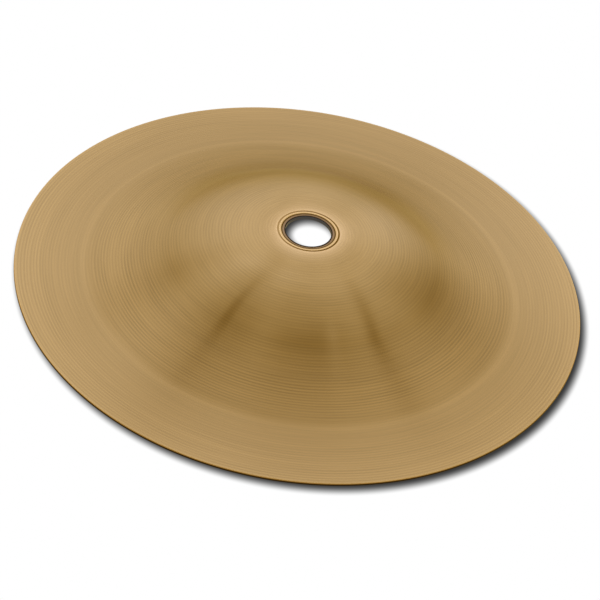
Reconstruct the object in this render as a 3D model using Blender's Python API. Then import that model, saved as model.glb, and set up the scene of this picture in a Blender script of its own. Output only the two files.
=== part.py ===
"""Cup chime: a low bell turned from one disc of bronze, bored to hang on a rod.

Units are metres and +Z is up. The chime stands on its rim, mouth down. The
origin lies on its axis, in the plane that the rim rests on.

The top face is a row of arcs that meet at a tangent: a dome that steepens from
the crown to the throat, a skirt that eases off again, a crease, and a flange
that flattens towards the rim. The underside runs parallel to it, through a wall
that thins outwards.
"""
import math

import bmesh
import bpy

# Overall sizes
DIAMETER = 0.1524
HEIGHT = 0.0198

# Widths and diameters of the top face, outwards from the bore
BORE_DIAMETER = 0.0122
COUNTERSINK_WIDTH = 0.00115
LAND_WIDTH = 0.00085
THROAT_DIAMETER = 0.0720
CREASE_WIDTH = 0.0023
FLANGE_WIDTH = 0.0179

# Slopes below level where the arcs meet. The throat's slope follows from the height
SHOULDER_SLOPE = math.radians(1.9)
SKIRT_SLOPE = math.radians(17.0)
FLANGE_SLOPE = math.radians(9.4)
RIM_SLOPE = math.radians(3.3)
STEEPEST_SLOPE = math.radians(85.0)

# Wall thickness, square to the surface
CROWN_WALL = 0.0012
RIM_WALL = 0.0009

# Edges
COUNTERSINK_DEPTH = 0.0002
LIP_CHAMFER = 0.0002
RIM_ROUND = 0.00025
REST_WIDTH = 0.0009

# Facets round the axis, and along each arc of the section
SEGMENTS = 96
DOME_STEPS = 12
SKIRT_STEPS = 8
CREASE_STEPS = 4
FLANGE_STEPS = 5
ROUND_STEPS = 3
UNDER_DOME_STEPS = 8
UNDER_SKIRT_STEPS = 5
UNDER_CREASE_STEPS = 2
UNDER_FLANGE_STEPS = 3
HALVINGS = 50

# Finish
BRONZE_COLOUR = (0.60, 0.42, 0.20, 1.0)
BRONZE_ROUGHNESS = 0.35
SHARP_ANGLE = math.radians(9.0)
MERGE_DISTANCE = 1e-7

# Radii that follow from the sizes above
RIM_RADIUS = DIAMETER / 2
BORE_RADIUS = BORE_DIAMETER / 2
LAND_RADIUS = BORE_RADIUS + COUNTERSINK_WIDTH + LAND_WIDTH
THROAT_RADIUS = THROAT_DIAMETER / 2
FLANGE_RADIUS = RIM_RADIUS - FLANGE_WIDTH
CREASE_RADIUS = FLANGE_RADIUS - CREASE_WIDTH
REST_RADIUS = RIM_RADIUS - REST_WIDTH

# End of the flange's arc, square through the wall from the inner edge of the rest
FACE_RADIUS = REST_RADIUS + RIM_WALL * math.sin(RIM_SLOPE)
FACE_HEIGHT = RIM_WALL * math.cos(RIM_SLOPE)

# Height of the top face where it would meet the rim's edge, if that were not rounded
RIM_TOP = FACE_HEIGHT - math.tan(RIM_SLOPE) * (RIM_RADIUS - FACE_RADIUS)


def drop(width, first_slope, last_slope):
    """Fall of an arc over a width, from the slopes at its two ends."""
    return width * math.tan((first_slope + last_slope) / 2)


def fall_of_face(throat_slope):
    """Fall of the whole top face, from the land to the end of the flange's arc."""
    return (
        drop(THROAT_RADIUS - LAND_RADIUS, SHOULDER_SLOPE, throat_slope)
        + drop(CREASE_RADIUS - THROAT_RADIUS, throat_slope, SKIRT_SLOPE)
        + drop(CREASE_WIDTH, SKIRT_SLOPE, FLANGE_SLOPE)
        + drop(FACE_RADIUS - FLANGE_RADIUS, FLANGE_SLOPE, RIM_SLOPE)
    )


def throat_slope():
    """Slope at the throat that brings the rim down to its height, by halving."""
    low, high = 0.0, STEEPEST_SLOPE
    for _ in range(HALVINGS):
        middle = (low + high) / 2
        if fall_of_face(middle) < HEIGHT - FACE_HEIGHT:
            low = middle
        else:
            high = middle
    return (low + high) / 2


def arc(start, end_radius, end_slope, steps):
    """Points (radius, height, slope) along an arc that goes on from a start point."""
    radius, height, slope = start
    points = []
    for step in range(1, steps + 1):
        new_slope = slope + (end_slope - slope) * step / steps
        share = (math.sin(new_slope) - math.sin(slope)) / (math.sin(end_slope) - math.sin(slope))
        width = (end_radius - radius) * share
        points.append((radius + width, height - drop(width, slope, new_slope), new_slope))
    return points


def top_face(dome_steps, skirt_steps, crease_steps, flange_steps):
    """Top face from the edge of the land to the end of the flange's arc."""
    points = [(LAND_RADIUS, HEIGHT, SHOULDER_SLOPE)]
    points += arc(points[-1], THROAT_RADIUS, throat_slope(), dome_steps)
    points += arc(points[-1], CREASE_RADIUS, SKIRT_SLOPE, skirt_steps)
    points += arc(points[-1], FLANGE_RADIUS, FLANGE_SLOPE, crease_steps)
    points += arc(points[-1], FACE_RADIUS, RIM_SLOPE, flange_steps)
    return points


def wall(radius):
    """Wall thickness, which thins evenly from the land to the rim."""
    share = (radius - LAND_RADIUS) / (FACE_RADIUS - LAND_RADIUS)
    return CROWN_WALL + (RIM_WALL - CROWN_WALL) * share


def under(point):
    """Point of the underside, square through the wall from a point of the top face."""
    radius, height, slope = point
    thickness = wall(radius)
    return radius - thickness * math.sin(slope), height - thickness * math.cos(slope)


def quarter(centre, first_angle, last_angle):
    """Small rounded edge, as points on an arc about a centre; angles are from +Z."""
    points = []
    for step in range(ROUND_STEPS + 1):
        angle = first_angle + (last_angle - first_angle) * step / ROUND_STEPS
        radius = centre[0] + RIM_ROUND * math.sin(angle)
        points.append((radius, centre[1] + RIM_ROUND * math.cos(angle)))
    return points


def rim_edge():
    """Rounded edge of the rim, down to the narrow flat that it rests on."""
    centre_radius = RIM_RADIUS - RIM_ROUND
    top_centre = RIM_TOP + RIM_ROUND * math.tan(RIM_SLOPE) - RIM_ROUND / math.cos(RIM_SLOPE)
    upper = quarter((centre_radius, top_centre), RIM_SLOPE, math.pi / 2)
    lower = quarter((centre_radius, RIM_ROUND), math.pi / 2, math.pi)
    return upper + lower


def section():
    """Closed outline (radius, height) of the wall, clockwise from the bore's top edge."""
    top = top_face(DOME_STEPS, SKIRT_STEPS, CREASE_STEPS, FLANGE_STEPS)
    above = top_face(UNDER_DOME_STEPS, UNDER_SKIRT_STEPS, UNDER_CREASE_STEPS, UNDER_FLANGE_STEPS)
    underside = [under(point) for point in above]
    crown_under = HEIGHT - CROWN_WALL
    underside[0] = (LAND_RADIUS - CROWN_WALL * math.tan(SHOULDER_SLOPE / 2), crown_under)
    bore = [
        (BORE_RADIUS + LIP_CHAMFER, crown_under),
        (BORE_RADIUS, crown_under + LIP_CHAMFER),
        (BORE_RADIUS, HEIGHT - COUNTERSINK_DEPTH),
        (BORE_RADIUS + COUNTERSINK_WIDTH, HEIGHT),
    ]
    return [point[:2] for point in top] + rim_edge() + underside[::-1] + bore


def bronze():
    """Lathed tin bronze."""
    material = bpy.data.materials.new("bronze")
    material.use_nodes = True
    material.diffuse_color = BRONZE_COLOUR
    shader = material.node_tree.nodes["Principled BSDF"]
    shader.inputs["Base Color"].default_value = BRONZE_COLOUR
    shader.inputs["Metallic"].default_value = 1.0
    shader.inputs["Roughness"].default_value = BRONZE_ROUGHNESS
    return material


def turn(name, outline, material):
    """Spin a closed outline once round the Z axis into a named solid."""
    form = bmesh.new()
    corners = [form.verts.new((radius, 0.0, height)) for radius, height in outline]
    edges = [form.edges.new(pair) for pair in zip(corners, corners[1:] + corners[:1])]
    bmesh.ops.spin(
        form,
        geom=corners + edges,
        cent=(0.0, 0.0, 0.0),
        axis=(0.0, 0.0, 1.0),
        angle=math.tau,
        steps=SEGMENTS,
        use_merge=True,
    )
    bmesh.ops.remove_doubles(form, verts=form.verts, dist=MERGE_DISTANCE)
    bmesh.ops.recalc_face_normals(form, faces=form.faces)
    mesh = bpy.data.meshes.new(name)
    form.to_mesh(mesh)
    form.free()
    mesh.shade_smooth()
    mesh.set_sharp_from_angle(angle=SHARP_ANGLE)
    mesh.materials.append(material)
    solid = bpy.data.objects.new(name, mesh)
    bpy.context.scene.collection.objects.link(solid)
    return solid


def main():
    for leftover in list(bpy.data.objects):
        bpy.data.objects.remove(leftover, do_unlink=True)
    turn("cup_chime", section(), bronze())


main()
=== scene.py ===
"""Cup chime: a low bell turned from one disc of bronze, lying on its rim on a pale floor.

The chime is one piece. Half its section is drawn from the hole to the rim and back, spun
once round and given its lathe cuts, its lip, and its bronze with painted light and shade.
"""

import math

import bpy
import numpy as np
from mathutils import Matrix, Vector
from mathutils.kdtree import KDTree


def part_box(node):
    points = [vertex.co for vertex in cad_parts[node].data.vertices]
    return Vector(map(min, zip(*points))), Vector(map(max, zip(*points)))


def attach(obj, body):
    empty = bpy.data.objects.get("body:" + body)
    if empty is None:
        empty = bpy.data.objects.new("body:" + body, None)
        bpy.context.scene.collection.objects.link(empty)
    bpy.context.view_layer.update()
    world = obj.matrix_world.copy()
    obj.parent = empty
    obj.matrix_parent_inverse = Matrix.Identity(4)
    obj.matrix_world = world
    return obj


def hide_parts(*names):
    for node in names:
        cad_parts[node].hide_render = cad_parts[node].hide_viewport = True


bl_info = {
    "name": "Cup chime",
    "version": (1, 0, 0),
    "blender": (4, 5, 0),
    "location": "View3D > Sidebar > Chime",
    "description": "A turned bronze cup chime, with its floor, light and camera",
    "category": "Add Mesh",
}

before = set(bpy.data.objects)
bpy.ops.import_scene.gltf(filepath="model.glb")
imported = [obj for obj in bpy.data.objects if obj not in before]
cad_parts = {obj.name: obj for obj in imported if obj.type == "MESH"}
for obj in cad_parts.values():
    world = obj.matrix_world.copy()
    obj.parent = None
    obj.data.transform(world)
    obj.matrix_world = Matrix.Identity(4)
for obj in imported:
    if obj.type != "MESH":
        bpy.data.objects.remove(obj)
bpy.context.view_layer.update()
CAD_LOW, CAD_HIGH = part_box("cup_chime")

MM = 0.001
DISC_DIAMETER = CAD_HIGH.x - CAD_LOW.x
CROWN_HEIGHT = CAD_HIGH.z - CAD_LOW.z

# Turned section
HALVINGS = 50
MERGE_DISTANCE = 1e-6
SEED_SIZE = 0.1 * MM
EDGE_STEPS = 6
LIP_STEPS = 8
CUT_STEPS = 3
UNDER_STEPS = 80
SHARP_ANGLE = math.radians(35.0)

# Edge of the hole in mm: distance from the bore, and depth under the crown
HOLE_EDGE = (
    (0.00, 0.165),
    (0.02, 0.145),
    (0.07, 0.132),
    (0.32, 0.126),
    (0.52, 0.120),
    (0.60, 0.128),
    (0.68, 0.116),
    (0.90, 0.106),
)

# The countersunk band's outer end in mm: distance from the band's edge, and depth
BAND_END = ((-0.06, 0.100), (-0.01, 0.088), (0.04, 0.058))

# The fine groove round the bead in mm: distance from the land's edge, and depth
BEAD_GROOVE = ((0.05, 0.075), (0.10, 0.082), (0.16, 0.060), (0.24, 0.020))
BEAD_START = 0.08 * MM
BEAD_HEIGHT = 0.045 * MM
FACE_START = 0.40 * MM

# Strength of the lathe cuts against the radius in mm: fine at the crown, bold on the skirt
CUT_STRENGTH = (
    (8.4, 0.0),
    (9.0, 0.20),
    (14.0, 0.40),
    (20.0, 0.75),
    (26.0, 0.75),
    (32.0, 0.60),
    (38.0, 0.75),
    (43.0, 1.05),
    (50.0, 1.25),
    (54.5, 0.95),
    (56.5, 0.35),
    (59.0, 0.15),
    (63.0, 0.35),
    (68.0, 0.75),
    (75.4, 0.85),
    (75.8, 0.0),
)

# Painted light and shade on the bronze against the radius in mm: a painted highlight line at the
# crease, paler at the rim
PAINTED_TONE = (
    (8.4, 0.97),
    (10.0, 0.985),
    (12.0, 0.975),
    (15.0, 1.0),
    (19.0, 1.0),
    (24.0, 0.955),
    (34.0, 0.96),
    (43.0, 1.0),
    (48.0, 1.07),
    (52.0, 1.045),
    (56.6, 0.975),
    (57.4, 0.98),
    (58.2, 1.025),
    (59.2, 0.95),
    (62.0, 0.97),
    (66.0, 1.0),
    (75.8, 1.1),
)

# Where the fine cuts give way to bold ones, which scatter the light more
BOLD_FROM = 36.0 * MM
BOLD_TO = 44.0 * MM
BAND_ROUGHNESS = 0.18

# How unevenly the cuts are spaced and how deep they go, by slow and quick waves from cut to cut
WIDTH_SWAY = ((0.10, 2.3, 0.0), (0.06, 5.7, 0.0))
DEPTH_SWAY = ((0.3, 2.9, 0.4), (0.2, 7.3, 0.0))
SHALLOWEST = 0.35

# Lower edge of the bore in mm: distance from the bore, and depth under the inner crown
LOWER_EDGE = ((0.60, 0.0), (0.20, 0.0), (0.06, -0.05), (0.00, -0.20), (0.00, -0.50))

# Flat map of the two faces, side by side
MAP_START = 6.0 * MM
MAP_SCALE = 2.9
TOP_MIDDLE = (0.25, 0.5)
UNDER_MIDDLE = (0.75, 0.5)


class ChimeSizes(bpy.types.PropertyGroup):
    """Sizes of the turned section"""

    diameter: bpy.props.FloatProperty(
        name="Diameter",
        description="Width of the disc over its rim",
        default=DISC_DIAMETER,
        subtype="DISTANCE",
        unit="LENGTH",
        precision=5,
    )
    height: bpy.props.FloatProperty(
        name="Height",
        description="From the plane that the rim rests on to the crown",
        default=CROWN_HEIGHT,
        subtype="DISTANCE",
        unit="LENGTH",
        precision=5,
    )
    bore: bpy.props.FloatProperty(
        name="Hole",
        description="Clear width of the hole",
        default=12.2 * MM,
        subtype="DISTANCE",
        unit="LENGTH",
        precision=5,
    )
    countersink: bpy.props.FloatProperty(
        name="Countersink",
        description="Width of the dull band inside the lip",
        default=1.15 * MM,
        subtype="DISTANCE",
        unit="LENGTH",
        precision=5,
    )
    lip: bpy.props.FloatProperty(
        name="Lip",
        description="Width of the burnished bead round the countersink",
        default=0.85 * MM,
        subtype="DISTANCE",
        unit="LENGTH",
        precision=5,
    )
    throat: bpy.props.FloatProperty(
        name="Throat",
        description="Diameter at which the cup is steepest",
        default=72.0 * MM,
        subtype="DISTANCE",
        unit="LENGTH",
        precision=5,
    )
    crease: bpy.props.FloatProperty(
        name="Crease",
        description="Width of the bend between the skirt and the flange",
        default=2.3 * MM,
        subtype="DISTANCE",
        unit="LENGTH",
        precision=5,
    )
    flange: bpy.props.FloatProperty(
        name="Flange",
        description="Width of the flange, which flattens towards the rim",
        default=17.9 * MM,
        subtype="DISTANCE",
        unit="LENGTH",
        precision=5,
    )
    shoulder_slope: bpy.props.FloatProperty(
        name="Shoulder slope",
        description="Slope of the dome where it leaves the lip",
        default=math.radians(1.9),
        subtype="ANGLE",
        unit="ROTATION",
    )
    skirt_slope: bpy.props.FloatProperty(
        name="Skirt slope",
        description="Slope of the skirt where it meets the crease",
        default=math.radians(17.0),
        subtype="ANGLE",
        unit="ROTATION",
    )
    flange_slope: bpy.props.FloatProperty(
        name="Flange slope",
        description="Slope of the flange where it leaves the crease",
        default=math.radians(9.4),
        subtype="ANGLE",
        unit="ROTATION",
    )
    rim_slope: bpy.props.FloatProperty(
        name="Rim slope",
        description="Slope of the flange at the rim",
        default=math.radians(3.3),
        subtype="ANGLE",
        unit="ROTATION",
    )
    crown_wall: bpy.props.FloatProperty(
        name="Crown wall",
        description="Thickness of the bronze at the hole",
        default=1.2 * MM,
        subtype="DISTANCE",
        unit="LENGTH",
        precision=5,
    )
    rim_wall: bpy.props.FloatProperty(
        name="Rim wall",
        description="Thickness of the bronze at the rim",
        default=0.9 * MM,
        subtype="DISTANCE",
        unit="LENGTH",
        precision=5,
    )
    rim_round: bpy.props.FloatProperty(
        name="Rim round",
        description="Radius of the rim's dressed edges",
        default=0.25 * MM,
        subtype="DISTANCE",
        unit="LENGTH",
        precision=5,
    )
    rest: bpy.props.FloatProperty(
        name="Rest",
        description="Width from the rim to the inner edge of the flat that it rests on",
        default=0.9 * MM,
        subtype="DISTANCE",
        unit="LENGTH",
        precision=5,
    )
    cut_pitch: bpy.props.FloatProperty(
        name="Cut pitch",
        description="Width of one lathe cut on the top face",
        default=0.82 * MM,
        subtype="DISTANCE",
        unit="LENGTH",
        precision=5,
    )
    cut_depth: bpy.props.FloatProperty(
        name="Cut depth",
        description="Depth of the deepest lathe cuts",
        default=0.010 * MM,
        subtype="DISTANCE",
        unit="LENGTH",
        precision=6,
    )
    segments: bpy.props.IntProperty(
        name="Segments",
        description="Steps of the turning round the axis",
        default=240,
        min=48,
    )


class BronzeFinish(bpy.types.PropertyGroup):
    """Colours of the bronze"""

    bronze: bpy.props.FloatVectorProperty(
        name="Bronze",
        description="Colour of the lathed bronze",
        default=(0.522, 0.35, 0.1595),
        subtype="COLOR",
    )
    pale_collar: bpy.props.FloatVectorProperty(
        name="Pale collar",
        description="Colour of the collar round the hole, which fades into the crown",
        default=(0.66, 0.44, 0.21),
        subtype="COLOR",
    )
    # Painted highlight on the lip and on the rim's upper corner
    painted_highlight: bpy.props.FloatVectorProperty(
        name="Painted highlight",
        description="Colour of the lip and of the rim's upper corner",
        default=(0.755, 0.507, 0.238),
        subtype="COLOR",
    )
    dull: bpy.props.FloatVectorProperty(
        name="Dull bronze",
        description="Colour of the countersunk band",
        default=(0.37, 0.24, 0.135),
        subtype="COLOR",
    )
    # Painted shade at the step from the band up to the lip
    step_shade: bpy.props.FloatVectorProperty(
        name="Step shade",
        description="Colour of the fine dark line between the band and the lip",
        default=(0.15, 0.075, 0.002),
        subtype="COLOR",
    )
    # Painted shade in the fine groove round the lip
    groove_shade: bpy.props.FloatVectorProperty(
        name="Groove shade",
        description="Colour of the fine line round the lip",
        default=(0.215, 0.105, 0.008),
        subtype="COLOR",
    )
    # Painted shade at the hole's edge
    edge: bpy.props.FloatVectorProperty(
        name="Hole edge",
        description="Colour of the dark line where the band turns down into the bore",
        default=(0.03, 0.018, 0.008),
        subtype="COLOR",
    )
    # Painted shade on the side of the rim, where the bronze would mirror the shaded floor
    rim_side_shade: bpy.props.FloatVectorProperty(
        name="Rim side shade",
        description="Colour of the side of the rim",
        default=(0.07, 0.045, 0.022),
        subtype="COLOR",
    )
    # Painted shade: the bore's wall is a dull grey, not bronze, as the shade inside the hole
    bore: bpy.props.FloatVectorProperty(
        name="Bore",
        description="Colour of the bore's wall",
        default=(0.165, 0.17, 0.19),
        subtype="COLOR",
    )
    fine_roughness: bpy.props.FloatProperty(
        name="Fine roughness",
        description="Roughness of the fine cuts on the crown and the upper skirt",
        default=0.149,
        subtype="FACTOR",
        min=0.0,
        max=1.0,
    )
    bold_roughness: bpy.props.FloatProperty(
        name="Bold roughness",
        description="Roughness of the bold cuts, from the lower skirt to the rim",
        default=0.252,
        subtype="FACTOR",
        min=0.0,
        max=1.0,
    )


class StudioSettings(bpy.types.PropertyGroup):
    """Floor, light and camera"""

    room: bpy.props.FloatProperty(
        name="Room light",
        description="Light from above between the soft panels, where white is 1",
        default=0.167,
        subtype="FACTOR",
        min=0.0,
        max=2.0,
    )
    below: bpy.props.FloatProperty(
        name="Light from below",
        description="Light that the floor sends up, where white is 1",
        default=0.301,
        subtype="FACTOR",
        min=0.0,
        max=2.0,
    )
    shadow: bpy.props.FloatProperty(
        name="Shadow",
        description="Depth of the soft shadow on the floor",
        default=0.767,
        subtype="FACTOR",
        min=0.0,
        max=1.0,
    )


# Section of the chime, as points (radius, height) with the slope below level


def drop(width, first_slope, last_slope):
    """Fall of an arc over a width, from the slopes at its two ends."""
    return width * math.tan((first_slope + last_slope) / 2)


class Section:
    """Radii, slopes and heights of the top face, worked out from the sizes."""

    def __init__(self, sizes):
        self.height = sizes.height
        self.rim = sizes.diameter / 2
        self.bore = sizes.bore / 2
        self.band = self.bore + sizes.countersink
        self.land = self.band + sizes.lip
        self.rest = self.rim - sizes.rest
        self.crown_wall = sizes.crown_wall
        self.rim_wall = sizes.rim_wall
        throat = sizes.throat / 2
        flange = self.rim - sizes.flange
        crease = flange - sizes.crease
        slope = sizes.rim_slope
        self.rim_slope = slope
        self.face = self.rest + sizes.rim_wall * math.sin(slope)
        face_height = sizes.rim_wall * math.cos(slope)
        self.rim_top = face_height - math.tan(slope) * (self.rim - self.face)
        low, high = 0.0, math.radians(85.0)
        for _ in range(HALVINGS):
            steepest = (low + high) / 2
            self.arcs = [
                (self.land, throat, sizes.shoulder_slope, steepest),
                (throat, crease, steepest, sizes.skirt_slope),
                (crease, flange, sizes.skirt_slope, sizes.flange_slope),
                (flange, self.face, sizes.flange_slope, slope),
                (self.face, self.rim, slope, slope),
            ]
            fall = sum(drop(end - start, first, last) for start, end, first, last in self.arcs)
            if fall < self.height - self.rim_top:
                low = steepest
            else:
                high = steepest

    def at(self, radius):
        """Height and slope of the smooth top face at a radius."""
        height = self.height
        slope = 0.0
        for start, end, first, last in self.arcs:
            if radius <= start:
                break
            reach = min(radius, end)
            if abs(last - first) < 1e-9:
                slope = first
            else:
                bend = (math.sin(last) - math.sin(first)) / (end - start)
                slope = math.asin(math.sin(first) + (reach - start) * bend)
            height -= drop(reach - start, first, slope)
        return height, slope

    def wall(self, radius):
        """Thickness of the bronze, which thins evenly from the lip to the rim."""
        share = (radius - self.land) / (self.face - self.land)
        return self.crown_wall + (self.rim_wall - self.crown_wall) * share


def cut_strength(radius):
    """Strength of the lathe cuts at a radius, from the table."""
    for (inner, first), (outer, last) in zip(CUT_STRENGTH, CUT_STRENGTH[1:]):
        if radius < outer * MM:
            share = max((radius / MM - inner) / (outer - inner), 0.0)
            return first + (last - first) * share
    return 0.0


def sway(cut, waves):
    """Sum of waves of (size, pace, start) at one lathe cut."""
    return sum(size * math.sin(cut * pace + start) for size, pace, start in waves)


def cut_edges(section, start, end, pitch):
    """Radii where one lathe cut ends and the next begins; their widths are a little uneven."""
    edges = [start]
    while edges[-1] < end:
        cut = len(edges)
        width = pitch * (1 + sway(cut, WIDTH_SWAY))
        edges.append(edges[-1] + width * math.cos(section.at(edges[-1])[1]))
    stretch = (end - start) / (edges[-1] - start)
    return [start + (edge - start) * stretch for edge in edges]


def cut_depth(cut, radius, deepest):
    """Depth of one lathe cut, which varies from cut to cut and with the radius."""
    share = SHALLOWEST + (1 - SHALLOWEST) * (0.5 + sway(cut, DEPTH_SWAY))
    return deepest * share * cut_strength(radius)


def quarter(centre, radius, first_angle, last_angle, steps):
    """Points on an arc about a centre; angles are from +Z towards the rim."""
    points = []
    for step in range(steps + 1):
        angle = first_angle + (last_angle - first_angle) * step / steps
        points.append((centre[0] + radius * math.sin(angle), centre[1] + radius * math.cos(angle)))
    return points


def offsets(radius, height, steps):
    """Points at distances out from a radius and depths under a height, both in mm."""
    return [(radius + out * MM, height - down * MM) for out, down in steps]


def lip_points(section):
    """Bore's top edge, countersunk band, the bead and the fine line round it."""
    height = section.height
    points = offsets(section.bore, height, HOLE_EDGE) + offsets(section.band, height, BAND_END)
    start = section.band + BEAD_START
    middle = (start + section.land) / 2
    half = (section.land - start) / 2
    for step in range(LIP_STEPS + 1):
        across = -1 + 2 * step / LIP_STEPS
        points.append((middle + half * across, height - BEAD_HEIGHT * across ** 2))
    return points + offsets(section.land, height, BEAD_GROOVE)


def top_points(section, sizes):
    """Top face with its lathe cuts, from the lip to the rim."""
    start, end = section.land + FACE_START, section.rim - sizes.rim_round
    edges = cut_edges(section, start, end, sizes.cut_pitch)
    points = []
    for cut, (inner, outer) in enumerate(zip(edges, edges[1:])):
        deepest = cut_depth(cut, inner, sizes.cut_depth)
        for step in range(CUT_STEPS):
            share = step / CUT_STEPS
            radius = inner + (outer - inner) * share
            height, slope = section.at(radius)
            depth = deepest * (1 - math.cos(math.tau * share)) / 2
            points.append((radius - depth * math.sin(slope), height - depth * math.cos(slope)))
    height, slope = section.at(edges[-1])
    return points + [(edges[-1], height)]


def rim_points(section, sizes):
    """Dressed edge of the rim and the narrow flat that it rests on."""
    bend = sizes.rim_round
    slope = section.rim_slope
    centre_radius = section.rim - bend
    top_centre = section.rim_top + bend * math.tan(slope) - bend / math.cos(slope)
    upper = quarter((centre_radius, top_centre), bend, slope, math.pi / 2, EDGE_STEPS)
    lower = quarter((centre_radius, bend), bend, math.pi / 2, math.pi, EDGE_STEPS)
    return upper[1:] + lower + [(section.rest, 0.0)]


def under_points(section, sizes):
    """Underside from the rest to the bore, square through the wall from the top face."""
    points = []
    for step in range(1, UNDER_STEPS + 1):
        radius = section.face + (section.land - section.face) * step / UNDER_STEPS
        height, slope = section.at(radius)
        wall = section.wall(radius)
        points.append((radius - wall * math.sin(slope), height - wall * math.cos(slope)))
    crown = section.height - section.crown_wall
    points[-1] = (section.land - section.crown_wall * math.tan(sizes.shoulder_slope / 2), crown)
    return points + offsets(section.bore, crown, LOWER_EDGE)


# Modelling steps


def only(thing):
    """Selects one object alone and makes it active."""
    bpy.ops.object.select_all(action="DESELECT")
    thing.select_set(True)
    bpy.context.view_layer.objects.active = thing


def draw_line(name, points):
    """Draws a closed line through points (radius, height), by extruding one to the next."""
    bpy.ops.object.select_all(action="DESELECT")
    first = Vector((points[0][0], 0.0, points[0][1]))
    bpy.ops.mesh.primitive_plane_add(size=SEED_SIZE, location=first)
    line = bpy.context.active_object
    line.name = line.data.name = name
    bpy.ops.object.transform_apply(location=True, rotation=True, scale=True)
    bpy.ops.object.mode_set(mode="EDIT")
    bpy.ops.mesh.select_all(action="SELECT")
    bpy.ops.mesh.merge(type="CENTER")
    here = first
    for radius, height in points[1:] + points[:1]:
        there = Vector((radius, 0.0, height))
        bpy.ops.mesh.extrude_region_move(TRANSFORM_OT_translate={"value": there - here})
        here = there
    bpy.ops.mesh.select_all(action="SELECT")
    bpy.ops.mesh.remove_doubles(threshold=MERGE_DISTANCE)
    bpy.ops.object.mode_set(mode="OBJECT")
    return line


def turn(line, segments):
    """Turns a closed line once round the axis into a solid with its faces outwards."""
    only(line)
    lathe = line.modifiers.new("lathe", "SCREW")
    lathe.axis = "Z"
    lathe.steps = lathe.render_steps = segments
    lathe.use_merge_vertices = True
    lathe.merge_threshold = MERGE_DISTANCE
    bpy.ops.object.modifier_apply(modifier=lathe.name)
    bpy.ops.object.mode_set(mode="EDIT")
    bpy.ops.mesh.select_all(action="SELECT")
    bpy.ops.mesh.normals_make_consistent(inside=False)
    bpy.ops.object.mode_set(mode="OBJECT")
    bpy.ops.object.shade_smooth_by_angle(angle=SHARP_ANGLE)


def lay_out(solid, points, turn_over, first_cut, pitch):
    """Marks the top face and counts its cuts; maps it and the underside as two flat discs."""
    lengths = [0.0]
    for one, two in zip(points, points[1:] + points[:1]):
        lengths.append(lengths[-1] + math.dist(one, two))
    tree = KDTree(len(points))
    for index, (radius, height) in enumerate(points):
        tree.insert((radius, 0.0, height), index)
    tree.balance()
    mesh = solid.data
    count = len(mesh.vertices)
    places = np.empty(count * 3, np.float32)
    mesh.vertices.foreach_get("co", places)
    places = places.reshape(count, 3)
    radii = np.hypot(places[:, 0], places[:, 1])
    nearest = [tree.find((r, 0.0, z))[1] for r, z in zip(radii.tolist(), places[:, 2].tolist())]
    nearest = np.array(nearest)
    along = np.array(lengths)[nearest]
    corners = np.empty(len(mesh.loops), np.int32)
    mesh.loops.foreach_get("vertex_index", corners)
    faces = corners.reshape(-1, 4)
    values = along[faces]
    middle = lengths[turn_over]
    seam = values.max(axis=1) - values.min(axis=1) > middle
    values[seam] = np.where(values[seam] < middle, values[seam] + lengths[-1], values[seam])
    under = values.mean(axis=1) > middle
    reach = np.where(under[:, None], lengths[-1] - values, values) + MAP_START
    spots = places[faces][:, :, :2] / radii[faces][:, :, None] * reach[:, :, None] * MAP_SCALE
    spots += np.where(under[:, None], UNDER_MIDDLE, TOP_MIDDLE)[:, None, :]
    flat_map = mesh.uv_layers.new(name="OFBake")
    flat_map.data.foreach_set("uv", spots.astype(np.float32).ravel())
    top = mesh.attributes.new("top_face", "FLOAT", "POINT")
    top.data.foreach_set("value", (along <= middle).astype(np.float32))
    cuts = (nearest.clip(first_cut, turn_over - EDGE_STEPS) - first_cut) / CUT_STEPS
    cuts = np.where(along > middle, (lengths[-1] - along) / pitch, cuts)
    cut = mesh.attributes.new("cut", "FLOAT", "POINT")
    cut.data.foreach_set("value", cuts.astype(np.float32))


# Materials


class Nodes:
    """Adds and joins the nodes of one tree."""

    def __init__(self, tree):
        self.tree = tree
        tree.nodes.clear()

    def add(self, kind, *inputs, **settings):
        """Adds a node; inputs are values or sockets in the order of its sockets."""
        node = self.tree.nodes.new(kind)
        for name, value in settings.items():
            setattr(node, name, value)
        for index, value in enumerate(inputs):
            self.put(value, node.inputs[index])
        return node

    def put(self, value, socket):
        """Joins a socket to an input, or writes a value on it."""
        if value is None:
            return
        if isinstance(value, bpy.types.NodeSocket):
            self.tree.links.new(value, socket)
        else:
            socket.default_value = value

    def math(self, operation, *inputs, clamp=False):
        """Adds a Math node and returns its result."""
        return self.add("ShaderNodeMath", *inputs, operation=operation, use_clamp=clamp).outputs[0]

    def vector(self, operation, *inputs):
        """Adds a Vector Math node and returns the node."""
        return self.add("ShaderNodeVectorMath", *inputs, operation=operation)

    def mix(self, share, first, second, kind="MIX"):
        """Adds a colour Mix node and returns its colour."""
        node = self.tree.nodes.new("ShaderNodeMix")
        node.data_type = "RGBA"
        node.blend_type = kind
        self.put(share, node.inputs["Factor"])
        self.put(first, node.inputs[6])
        self.put(second, node.inputs[7])
        return node.outputs[2]

    def between(self, value, start, end, low=0.0, high=1.0, kind="SMOOTHSTEP"):
        """Adds a Map Range node and returns its result."""
        node = self.tree.nodes.new("ShaderNodeMapRange")
        node.interpolation_type = kind
        for socket, entry in zip(node.inputs, (value, start, end, low, high)):
            self.put(entry, socket)
        return node.outputs[0]


def rgba(colour):
    """Colour with full alpha."""
    return (colour[0], colour[1], colour[2], 1.0)


def direction(azimuth, height):
    """Unit vector from the chime towards a place given by azimuth and height in degrees."""
    around, raised = math.radians(azimuth), math.radians(height)
    level = math.cos(raised)
    return Vector((level * math.cos(around), level * math.sin(around), math.sin(raised)))


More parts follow.
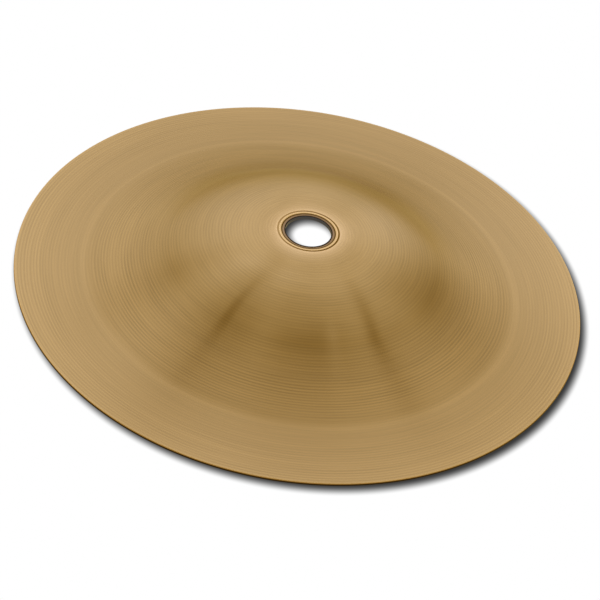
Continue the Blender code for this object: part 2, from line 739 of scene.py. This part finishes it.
# Lathed bronze: cuts, grain, collar, hole, rim and gloss
CUT_DARK = 0.16
CUT_WAVER = 0.22
CUT_FADES = (0.6, 1.4)
SHADE_RANGE = (0.98, 1.02)
GRAIN_RANGE = (0.95, 1.05)
COLLAR_FADE = 1.9 * MM
RING_BLUR = 0.06 * MM
# Sides where painted shade is deepest: the groove round the lip, and the hole's edge at the front
GROOVE_SHADE_SIDE = -20.0
FRONT_SIDE = -75.0
TOP_CLEAR = 0.07 * MM
BORE_SKIN = (0.10 * MM, 0.08 * MM)
RIM_CORNER = 0.28 * MM
RIM_SIDE = (0.20 * MM, 0.14 * MM)
RIM_SIDE_TOP = (0.72 * MM, 0.60 * MM)
BUMP_DEPTH = 0.003 * MM
CUT_TANGENT = 0.25


def lathed_bronze(finish, section, sizes):
    """Turned bronze: gloss drawn out across the cuts, rings of light and dark that are partly
    painted light and shade, and painted highlight and shade at the hole and the dressed edges.
    """
    material = bpy.data.materials.new("lathed_bronze")
    material.use_nodes = True
    material.diffuse_color = rgba(finish.bronze)
    n = Nodes(material.node_tree)
    place = n.add("ShaderNodeTexCoord").outputs["Object"]
    split = n.add("ShaderNodeSeparateXYZ", place)
    level = split.outputs[2]
    flat = n.add("ShaderNodeCombineXYZ", split.outputs[0], split.outputs[1], 0.0).outputs[0]
    radius = n.vector("LENGTH", flat).outputs["Value"]
    bearing = n.vector("NORMALIZE", flat).outputs[0]
    top = n.add("ShaderNodeAttribute", attribute_name="top_face").outputs["Fac"]
    count = n.add("ShaderNodeAttribute", attribute_name="cut").outputs["Fac"]

    def rings(per_cut, round_scale, detail):
        """Noise that changes with the cuts, and more slowly round the chime."""
        turned = n.vector("SCALE", bearing)
        turned.inputs["Scale"].default_value = round_scale
        across = n.add("ShaderNodeCombineXYZ", 0.0, 0.0, n.math("MULTIPLY", count, per_cut))
        spot = n.vector("ADD", turned.outputs[0], across.outputs[0]).outputs[0]
        noise = n.add("ShaderNodeTexNoise", spot, noise_dimensions="3D")
        noise.inputs["Scale"].default_value = 1.0
        noise.inputs["Detail"].default_value = detail
        return noise.outputs[0]

    def ring_zone(inner, outer, edge):
        """Mask of the top face between two radii, with soft edges."""
        rise = n.between(radius, inner - edge / 2, inner + edge / 2)
        fall = n.between(radius, outer + edge / 2, outer - edge / 2)
        return n.math("MULTIPLY", n.math("MULTIPLY", rise, fall), top)

    fine = rings(2.6, 2.4, 2.0)
    coarse = rings(0.9, 0.5, 1.0)
    fading = rings(0.30, 2.5, 2.0)

    def by_radius(table):
        """Value that follows a table of radii in mm and levels up to 2."""
        node = n.add("ShaderNodeValToRGB", n.math("DIVIDE", radius, section.rim))
        stops = node.color_ramp.elements
        while len(stops) < len(table):
            stops.new(0.5)
        for stop, (distance, height) in zip(stops, table):
            stop.position = distance * MM / section.rim
            stop.color = (height / 2, height / 2, height / 2, 1.0)
        return n.math("MULTIPLY", node.outputs[0], 2.0)

    # Lathe cuts: a dark line where two cuts meet, wavering, stronger and weaker along its way
    waver = n.math("MULTIPLY", n.math("SUBTRACT", rings(0.5, 4.0, 1.0), 0.5), CUT_WAVER)
    turns = n.math("ADD", count, waver)
    wave = n.math("COSINE", n.math("MULTIPLY", turns, math.tau))
    line = n.math("MULTIPLY_ADD", wave, 0.5, 0.5)
    fade = n.between(fading, 0.30, 0.70, *CUT_FADES, "LINEAR")
    depth = n.math("MULTIPLY", n.math("MULTIPLY", line, by_radius(CUT_STRENGTH)), fade)
    shade = n.between(coarse, 0.25, 0.75, *SHADE_RANGE, "LINEAR")
    grain = n.between(fine, 0.25, 0.75, *GRAIN_RANGE, "LINEAR")
    # Tone: random mottling and grain, times the painted light and shade by radius
    tone = n.math("MULTIPLY", n.math("MULTIPLY", shade, grain), by_radius(PAINTED_TONE))
    cuts = n.math("MULTIPLY_ADD", depth, -CUT_DARK, 1.0 + CUT_DARK * 0.4)
    tone = n.math("MULTIPLY", tone, cuts)
    grey = n.add("ShaderNodeCombineXYZ", tone, tone, tone).outputs[0]
    inward = n.math("SUBTRACT", section.land + FACE_START, radius)
    collar = n.math("EXPONENT", n.math("DIVIDE", inward, COLLAR_FADE))
    collar = n.math("MULTIPLY", n.math("MINIMUM", collar, 1.0), top)
    colour = n.mix(collar, rgba(finish.bronze), rgba(finish.pale_collar))
    colour = n.mix(1.0, colour, grey, "MULTIPLY")

    # Hole: dull band with dark outlines of painted shade, deeper on the front side; a lip with a
    # painted highlight; a brown line of painted shade round it, deepest on one side; dark bore, its
    # wall painted grey as shade
    # The painted shade in the groove round the lip is deepest on one side
    side_on = n.vector("DOT_PRODUCT", bearing, direction(GROOVE_SHADE_SIDE, 0.0)).outputs["Value"]
    shade_side_share = n.between(side_on, -1.0, 1.0, 0.5, 1.0, "LINEAR")
    # More painted shade at the hole's edge on the front side
    front_on = n.vector("DOT_PRODUCT", bearing, direction(FRONT_SIDE, 0.0)).outputs["Value"]
    front = n.between(front_on, 0.3, 0.9)
    for start, end, paint, share in (
        # from and to in mm out from the bore, colour, how much of it
        (0.00, 1.20, finish.dull, 1.0),
        # painted shade at the hole's edge
        (0.00, 0.36, finish.edge, 1.0),
        # more painted shade at the hole's edge on the front side
        (0.30, 0.50, finish.edge, front),
        # painted shade at the step from the band up to the lip
        (0.86, 1.20, finish.step_shade, 1.0),
        # painted highlight on the lip
        (1.30, 1.84, finish.painted_highlight, 1.0),
        # painted shade in the groove round the lip, deepest on one side
        (1.79, 2.25, finish.groove_shade, shade_side_share),
    ):
        ring = ring_zone(section.bore + start * MM, section.bore + end * MM, RING_BLUR)
        colour = n.mix(n.math("MULTIPLY", ring, share), colour, rgba(paint))
    # Bore wall: painted grey, not metal, as the shade inside the hole
    reach = n.math("MULTIPLY_ADD", top, TOP_CLEAR, radius)
    wall = n.between(reach, section.bore + BORE_SKIN[0], section.bore + BORE_SKIN[1])
    colour = n.mix(wall, colour, rgba(finish.bore))

    # Rim: painted highlight on the upper corner and painted shade on the side
    corner = ring_zone(section.rim - RIM_CORNER, section.rim + MM, RING_BLUR)
    outer = n.between(radius, section.rim - RIM_SIDE[0], section.rim - RIM_SIDE[1])
    side = n.math("MULTIPLY", outer, n.between(level, *RIM_SIDE_TOP))
    colour = n.mix(corner, colour, rgba(finish.painted_highlight))
    colour = n.mix(side, colour, rgba(finish.rim_side_shade))

    # Gloss: the cuts scatter the light, the bold ones and the dull band most
    levels = (finish.fine_roughness, finish.bold_roughness)
    rough = n.between(radius, BOLD_FROM, BOLD_TO, *levels, "LINEAR")
    band = ring_zone(section.bore, section.band, RING_BLUR)
    rough = n.math("MULTIPLY_ADD", band, BAND_ROUGHNESS, rough)

    bump = n.add("ShaderNodeBump")
    bump.inputs["Strength"].default_value = 1.0
    bump.inputs["Distance"].default_value = BUMP_DEPTH
    n.put(n.math("SUBTRACT", n.math("MULTIPLY", fine, 0.5), depth), bump.inputs["Height"])

    shader = n.add("ShaderNodeBsdfPrincipled")
    n.put(colour, shader.inputs["Base Color"])
    # The bore wall's painted grey shade is not metal
    n.put(n.math("SUBTRACT", 1.0, wall), shader.inputs["Metallic"])
    n.put(rough, shader.inputs["Roughness"])
    shader.inputs["Anisotropic"].default_value = 1.0
    shader.inputs["Anisotropic Rotation"].default_value = CUT_TANGENT
    n.put(bump.outputs[0], shader.inputs["Normal"])
    tangent = n.add("ShaderNodeTangent", direction_type="RADIAL", axis="Z")
    n.put(tangent.outputs[0], shader.inputs["Tangent"])
    n.add("ShaderNodeOutputMaterial", shader.outputs[0])
    return material


class CHIME_OT_turned_chime(bpy.types.Operator):
    """Draws half the section of the chime, turns it once round and gives it its bronze"""

    bl_idname = "chime.turned_chime"
    bl_label = "Turned chime"

    def execute(self, context):
        sizes = context.scene.chime_sizes
        section = Section(sizes)
        outline = lip_points(section)
        first_cut = len(outline)
        outline += top_points(section, sizes)
        turn_over = len(outline) + EDGE_STEPS
        outline += rim_points(section, sizes) + under_points(section, sizes)
        chime = draw_line("turned_chime", outline)
        turn(chime, sizes.segments)
        lay_out(chime, outline, turn_over, first_cut, sizes.cut_pitch)
        chime.data.materials.append(lathed_bronze(context.scene.bronze_finish, section, sizes))
        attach(chime, "root")
        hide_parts("cup_chime")
        return {"FINISHED"}


# Stage

HORIZON = 0.15
DIMMEST = 0.30
LOW_FROM, LOW_TO = 0.25, -0.05
RED_FALL, BLUE_FALL = 0.8, 1.70
LOW_RED, LOW_BLUE = 0.07, -0.30
PANELS = (
    # azimuth, height, turn, width and tallness in degrees, light added
    ("back_high", 89.8, 40.5, 54.8, 4.5, 3.1, 0.787),
    ("back_low", 105.7, 28.0, 34.2, 25.9, 21.3, 0.775),
    ("left_high", 104.7, 60.6, 153.3, 8.5, 4.0, 0.657),
    ("left_front", 170.7, 53.3, 65.1, 15.9, 4.3, 0.607),
    ("left_line", 84.7, 31.6, 86.6, 43.0, 3.7, -0.133),
    ("left_line_low", 96.4, 40.9, 82.0, 7.2, 1.7, -0.461),
    ("right_line", 354.7, 53.1, 34.5, 23.5, 2.0, -0.275),
    ("right_gap", 78.3, -1.9, 167.1, 24.2, 4.4, -0.308),
    ("front_gap", 161.1, 33.1, 71.3, 44.2, 8.2, -0.470),
    ("front_low", 112.4, 62.1, 158.8, 44.9, 12.4, 0.745),
    ("front_left", 222.5, 76.7, 96.2, 16.7, 9.3, 0.403),
    ("right_front", 58.3, 41.9, 125.9, 43.1, 10.0, 0.613),
    ("top_gap", 113.1, 59.8, 144.8, 24.4, 6.9, -0.479),
    ("far_floor", 120.4, 6.9, 28.0, 41.7, 1.8, -0.388),
    ("far_floor_right", 64.9, -11.5, 110.5, 15.2, 5.9, 0.636),
    ("front_streak", 105.8, 59.5, 30.3, 8.5, 4.0, -0.382),
    ("right_streak", 48.2, 48.9, 124.0, 13.6, 7.6, -0.546),
    ("crescent", 112.0, -10.9, 52.3, 26.9, 4.2, 0.712),
    ("front_line", 183.4, 63.9, 148.7, 16.2, 1.3, -0.272),
    ("front_glint", 352.3, 73.7, 8.9, 1.8, 1.7, 0.285),
    ("side_line", 80.7, 41.5, 124.2, 13.2, 2.7, -0.151),
)


def panel_frame(azimuth, height, turn):
    """Turns of a panel that stands square to its direction from the chime, angles in degrees."""
    towards = direction(azimuth, height)
    level = direction(azimuth + 90.0, 0.0)
    upright = towards.cross(level)
    tilt = math.radians(turn)
    across = math.cos(tilt) * level + math.sin(tilt) * upright
    along = math.cos(tilt) * upright - math.sin(tilt) * level
    return Matrix((across, along, towards)).transposed().to_euler()


def soft_room(settings):
    """White background, which the bronze sees shaded by soft panels and the gaps between them."""
    world = bpy.data.worlds.new("soft_room")
    world.use_nodes = True
    n = Nodes(world.node_tree)
    towards = n.add("ShaderNodeTexCoord").outputs["Generated"]
    height = n.add("ShaderNodeSeparateXYZ", towards).outputs[2]
    light = n.between(height, -HORIZON, HORIZON, settings.below, settings.room)
    for _, azimuth, raised, turn, width, tallness, strength in PANELS:
        panel = n.add("ShaderNodeMapping", towards, vector_type="TEXTURE")
        panel.inputs["Rotation"].default_value = panel_frame(azimuth, raised, turn)
        spread = [math.radians(angle) * math.sqrt(2.0) for angle in (width, tallness)]
        panel.inputs["Scale"].default_value = (spread[0], spread[1], 1.0)
        flat = n.vector("MULTIPLY", panel.outputs[0], (1.0, 1.0, 0.0)).outputs[0]
        off = n.vector("DOT_PRODUCT", flat, flat).outputs["Value"]
        facing = n.add("ShaderNodeSeparateXYZ", panel.outputs[0]).outputs[2]
        lobe = n.math("POWER", 1.0 / math.e, off)
        lobe = n.math("MULTIPLY", lobe, n.math("MAXIMUM", facing, 0.0))
        light = n.math("MULTIPLY_ADD", lobe, strength, light)
    light = n.math("MAXIMUM", light, DIMMEST)
    low = n.between(height, LOW_FROM, LOW_TO)
    red = n.math("POWER", light, RED_FALL)
    red = n.math("MULTIPLY", red, n.math("MULTIPLY_ADD", low, LOW_RED, 1.0))
    blue = n.math("POWER", light, BLUE_FALL)
    blue = n.math("MULTIPLY", blue, n.math("MULTIPLY_ADD", low, LOW_BLUE, 1.0))
    shaded = n.add("ShaderNodeCombineXYZ", red, light, blue).outputs[0]
    rays = n.add("ShaderNodeLightPath").outputs
    shaded = n.mix(rays["Is Diffuse Ray"], shaded, light)
    white = n.math("MAXIMUM", rays["Is Camera Ray"], rays["Is Transmission Ray"])
    colour = n.mix(white, shaded, (1.0, 1.0, 1.0, 1.0))
    background = n.add("ShaderNodeBackground", colour, 1.0)
    n.add("ShaderNodeOutputWorld", background.outputs[0])
    bpy.context.scene.world = world


# Painted shadow of the disc and painted light through its hole: centre, radius, and blur along X
# and Y
SHADOW = ((1.16 * MM, -1.10 * MM, 0.0), 76.44 * MM, (0.83 * MM, 1.16 * MM, 0.0))
HOLE_LIGHT = ((1.25 * MM, 21.78 * MM, 0.0), 6.08 * MM, (0.90 * MM, 1.38 * MM, 0.0))
SHADOW_EDGE = 1.88
SHADOW_DEEPENING = 2.2
FLOOR_SIZE = 6.0


def pale_floor_finish(settings):
    """White floor with the chime's soft shadow painted on, off to one side, and painted light
    through its hole.
    """
    material = bpy.data.materials.new("pale_floor")
    material.use_nodes = True
    n = Nodes(material.node_tree)
    place = n.add("ShaderNodeTexCoord").outputs["Object"]
    shades = []
    for centre, radius, blur in (SHADOW, HOLE_LIGHT):
        away = n.vector("SUBTRACT", place, centre).outputs[0]
        reach = n.vector("LENGTH", away).outputs["Value"]
        spread = n.vector("LENGTH", n.vector("MULTIPLY", away, blur).outputs[0]).outputs["Value"]
        inside = n.math("MULTIPLY", n.math("SUBTRACT", radius, reach), reach)
        sharpness = n.math("DIVIDE", inside, n.math("MAXIMUM", spread, 1e-9))
        shades.append(n.between(sharpness, -SHADOW_EDGE, SHADOW_EDGE))
    dark = n.math("MULTIPLY", shades[0], n.math("SUBTRACT", 1.0, shades[1]))
    bright = n.math("MULTIPLY_ADD", dark, -settings.shadow, 1.0)
    bright = n.math("POWER", bright, SHADOW_DEEPENING)
    card = n.add("ShaderNodeEmission", (1.0, 1.0, 1.0, 1.0), bright)
    below = n.add("ShaderNodeNewGeometry").outputs["Backfacing"]
    clear = n.add("ShaderNodeBsdfTransparent")
    both = n.add("ShaderNodeMixShader", below, card.outputs[0], clear.outputs[0])
    n.add("ShaderNodeOutputMaterial", both.outputs[0])
    return material


class CHIME_OT_stage(bpy.types.Operator):
    """Adds the pale floor, lights the room and sets up the camera"""

    bl_idname = "chime.stage"
    bl_label = "Stage"

    def execute(self, context):
        scene = context.scene
        settings = scene.studio_settings
        bpy.ops.object.select_all(action="DESELECT")
        bpy.ops.mesh.primitive_plane_add(size=FLOOR_SIZE, location=(0.0, 0.0, 0.0))
        floor = context.active_object
        floor.name = floor.data.name = "pale_floor"
        floor.data.materials.append(pale_floor_finish(settings))
        floor.visible_glossy = False
        floor.visible_diffuse = False
        floor.visible_shadow = False
        soft_room(settings)
        set_camera(scene)
        scene.view_settings.view_transform = "Standard"
        return {"FINISHED"}


# Camera: height and roll of the view, and the place that it aims at
VIEW_HEIGHT = math.radians(40.3775)
VIEW_ROLL = math.radians(10.1399)
VIEW_DISTANCE = 1.0
VIEW_LENS = 225.744
VIEW_AIM = (0.986 * MM, -6.029 * MM, 0.869 * MM)


def set_camera(scene):
    """Sets the camera up in front and above, rolled a little, as the photograph was taken."""
    data = bpy.data.cameras.new("camera")
    data.lens = VIEW_LENS
    data.sensor_width = 36.0
    data.clip_start = 0.05
    data.clip_end = 20.0
    camera = bpy.data.objects.new("camera", data)
    scene.collection.objects.link(camera)
    back = Vector((0.0, -math.cos(VIEW_HEIGHT), math.sin(VIEW_HEIGHT)))
    camera.location = Vector(VIEW_AIM) + back * VIEW_DISTANCE
    level = back.to_track_quat("Z", "Y")
    camera.rotation_euler = level.to_euler()
    camera.rotation_euler.rotate_axis("Z", VIEW_ROLL)
    scene.camera = camera


class CHIME_PT_panel(bpy.types.Panel):
    """Lists the sizes, colours and steps of the cup chime"""

    bl_label = "Cup chime"
    bl_idname = "CHIME_PT_panel"
    bl_space_type = "VIEW_3D"
    bl_region_type = "UI"
    bl_category = "Chime"

    def draw(self, context):
        layout = self.layout
        scene = context.scene
        for group in (scene.chime_sizes, scene.bronze_finish, scene.studio_settings):
            column = layout.column(align=True)
            for name in group.__annotations__:
                column.prop(group, name)
        for step in STEPS:
            layout.operator(step.bl_idname)


STEPS = (CHIME_OT_turned_chime, CHIME_OT_stage)
CLASSES = (ChimeSizes, BronzeFinish, StudioSettings) + STEPS + (CHIME_PT_panel,)


def register():
    for entry in CLASSES:
        bpy.utils.register_class(entry)
    bpy.types.Scene.chime_sizes = bpy.props.PointerProperty(type=ChimeSizes)
    bpy.types.Scene.bronze_finish = bpy.props.PointerProperty(type=BronzeFinish)
    bpy.types.Scene.studio_settings = bpy.props.PointerProperty(type=StudioSettings)


def unregister():
    del bpy.types.Scene.studio_settings
    del bpy.types.Scene.bronze_finish
    del bpy.types.Scene.chime_sizes
    for entry in reversed(CLASSES):
        bpy.utils.unregister_class(entry)


def main():
    register()
    bpy.ops.chime.turned_chime()
    bpy.ops.chime.stage()


if __name__ == "__main__":
    main()
